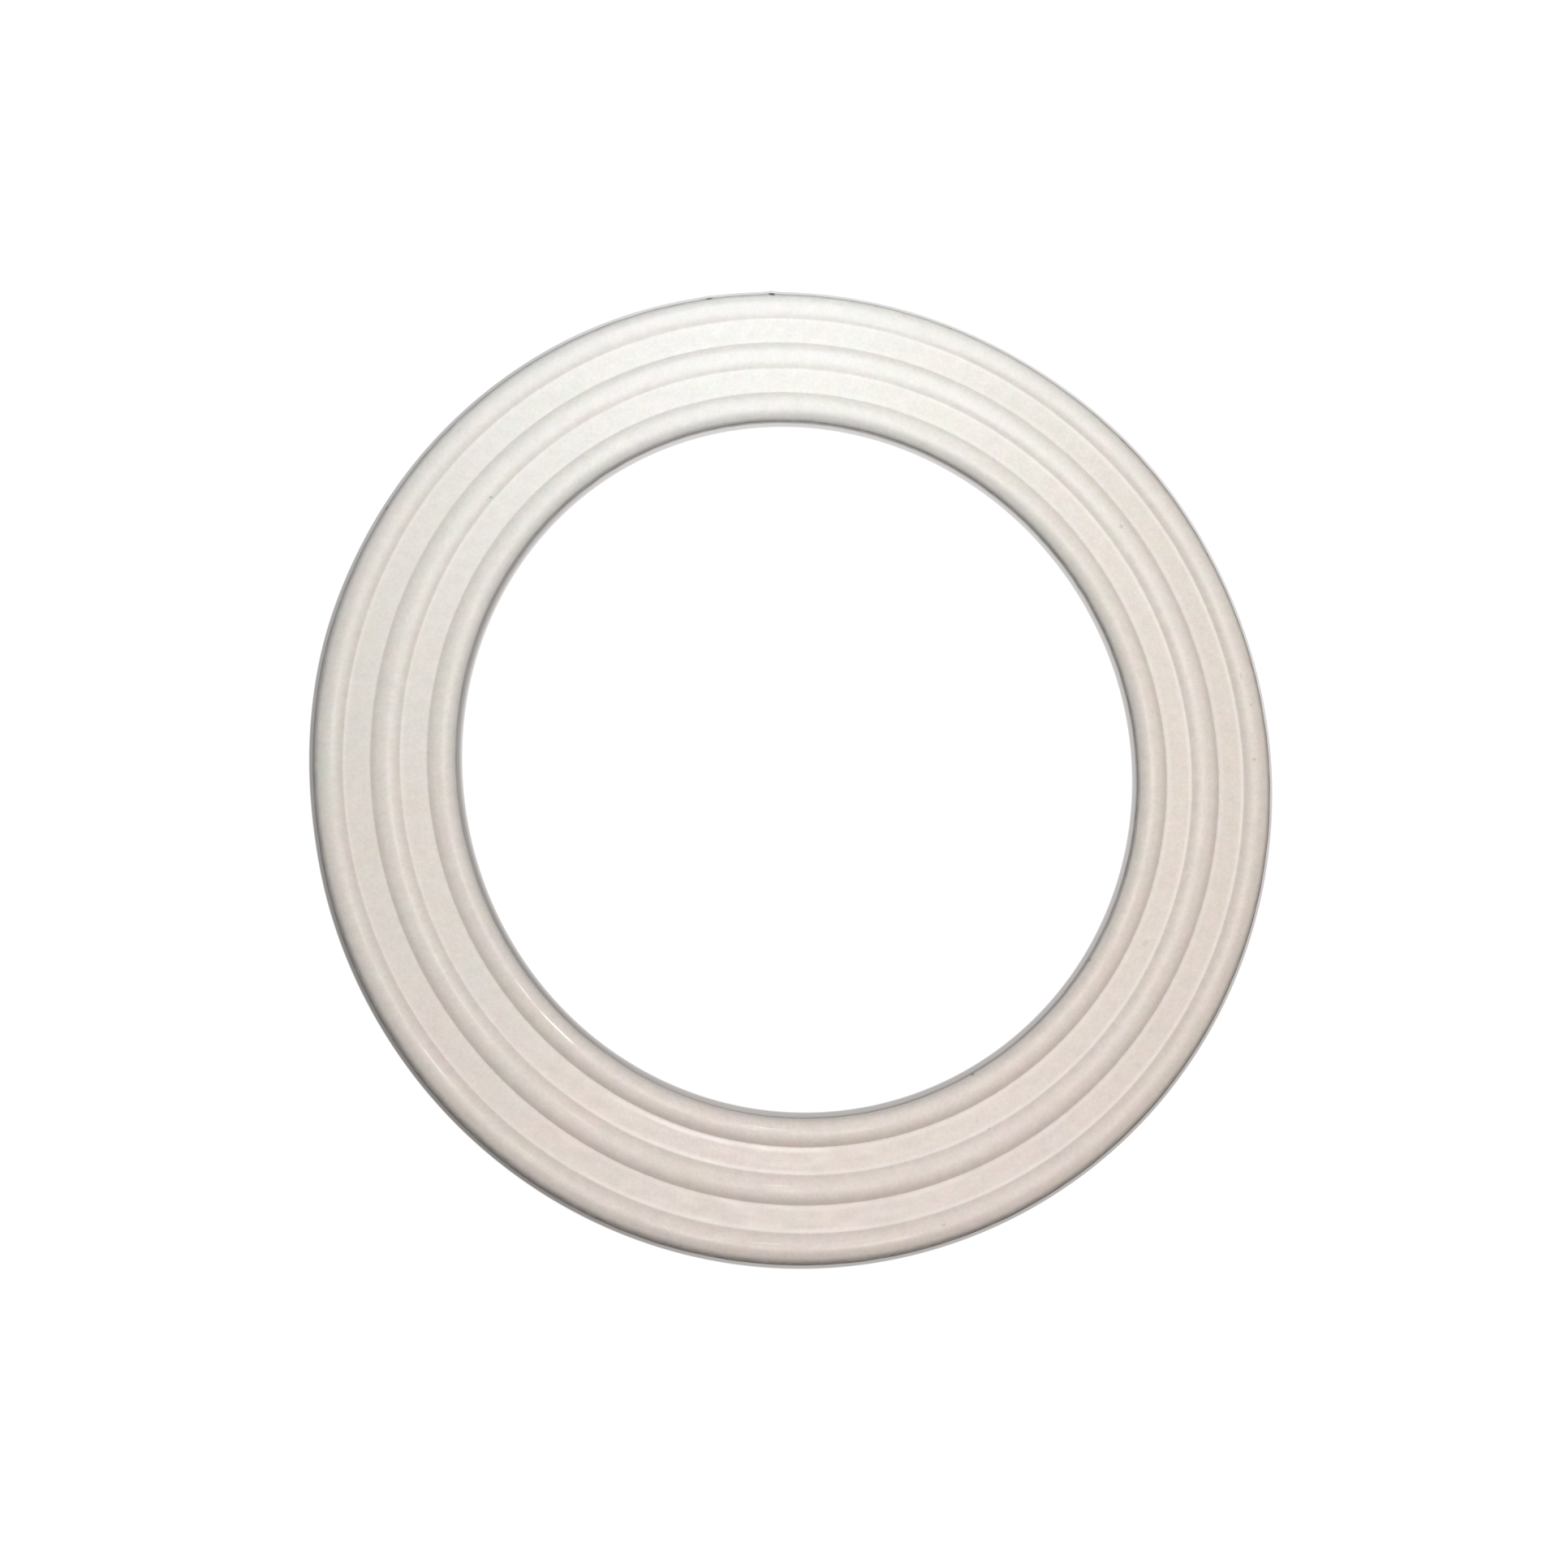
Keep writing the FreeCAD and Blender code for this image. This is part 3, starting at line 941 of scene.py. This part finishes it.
def makeLamp(name, lamp):
    power = lamp["level"] * math.pi ** 2 * lamp["distance"] ** 2
    aim = Vector((0, 0, 0))
    if "poolRadius" in lamp:
        light = bpy.data.lights.new(name, "SPOT")
        light.spot_size = 2 * math.atan(lamp["poolRadius"] * mm / lamp["distance"])
        light.spot_blend = 1.0
        light.shadow_soft_size = lamp["width"]
        light.energy = 4 * power       # straight ahead a spot gives a quarter of what a disk gives
        aim = Vector((lamp["poolX"] * mm, lamp["poolY"] * mm, 0))
    else:
        light = bpy.data.lights.new(name, "AREA")
        light.shape = "DISK"
        light.size = lamp["width"]
        light.energy = power
    light.color = lamp["colour"]
    towards, height = math.radians(lamp["towards"]), math.radians(lamp["height"])
    across = math.cos(height)
    away = Vector((math.cos(towards) * across, math.sin(towards) * across, math.sin(height)))
    holder = bpy.data.objects.new(name, light)
    bpy.context.collection.objects.link(holder)
    holder.location = aim + away * lamp["distance"]
    holder.rotation_euler = away.to_track_quat("Z", "Y").to_euler()
    holder.visible_camera = False


cameraSet = {
    "lens": 38.0,              # on a 36 mm wide sensor
    "distance": 160.44,        # millimetres from the point aimed at
    "aimX": -1.886,
    "aimY": -2.728,
    "leanBack": 8.99,          # degrees, the picture's lower edge is nearer
    "leanSide": -5.32,
}


def makeCamera(level):
    camera = bpy.data.cameras.new("photoCamera")
    camera.sensor_width = 36.0
    camera.lens = cameraSet["lens"]
    camera.clip_start = 0.01
    camera.clip_end = 10.0
    holder = bpy.data.objects.new("photoCamera", camera)
    bpy.context.collection.objects.link(holder)
    side = Matrix.Rotation(math.radians(cameraSet["leanSide"]), 3, "Y")
    back = Matrix.Rotation(math.radians(cameraSet["leanBack"]), 3, "X")
    turn = side @ back
    aim = Vector((cameraSet["aimX"] * mm, cameraSet["aimY"] * mm, level["land"]))
    place = aim + turn @ Vector((0, 0, cameraSet["distance"] * mm))
    holder.matrix_world = Matrix.Translation(place) @ turn.to_4x4()
    bpy.context.scene.camera = holder


makeFloor(ringLevel)
makeWorld()
for lampName, lampSettings in lamps.items():
    makeLamp(lampName, lampSettings)
makeCamera(ringLevel)
bpy.context.scene.view_settings.view_transform = "Standard"
print("floor, world, lamps and camera set")
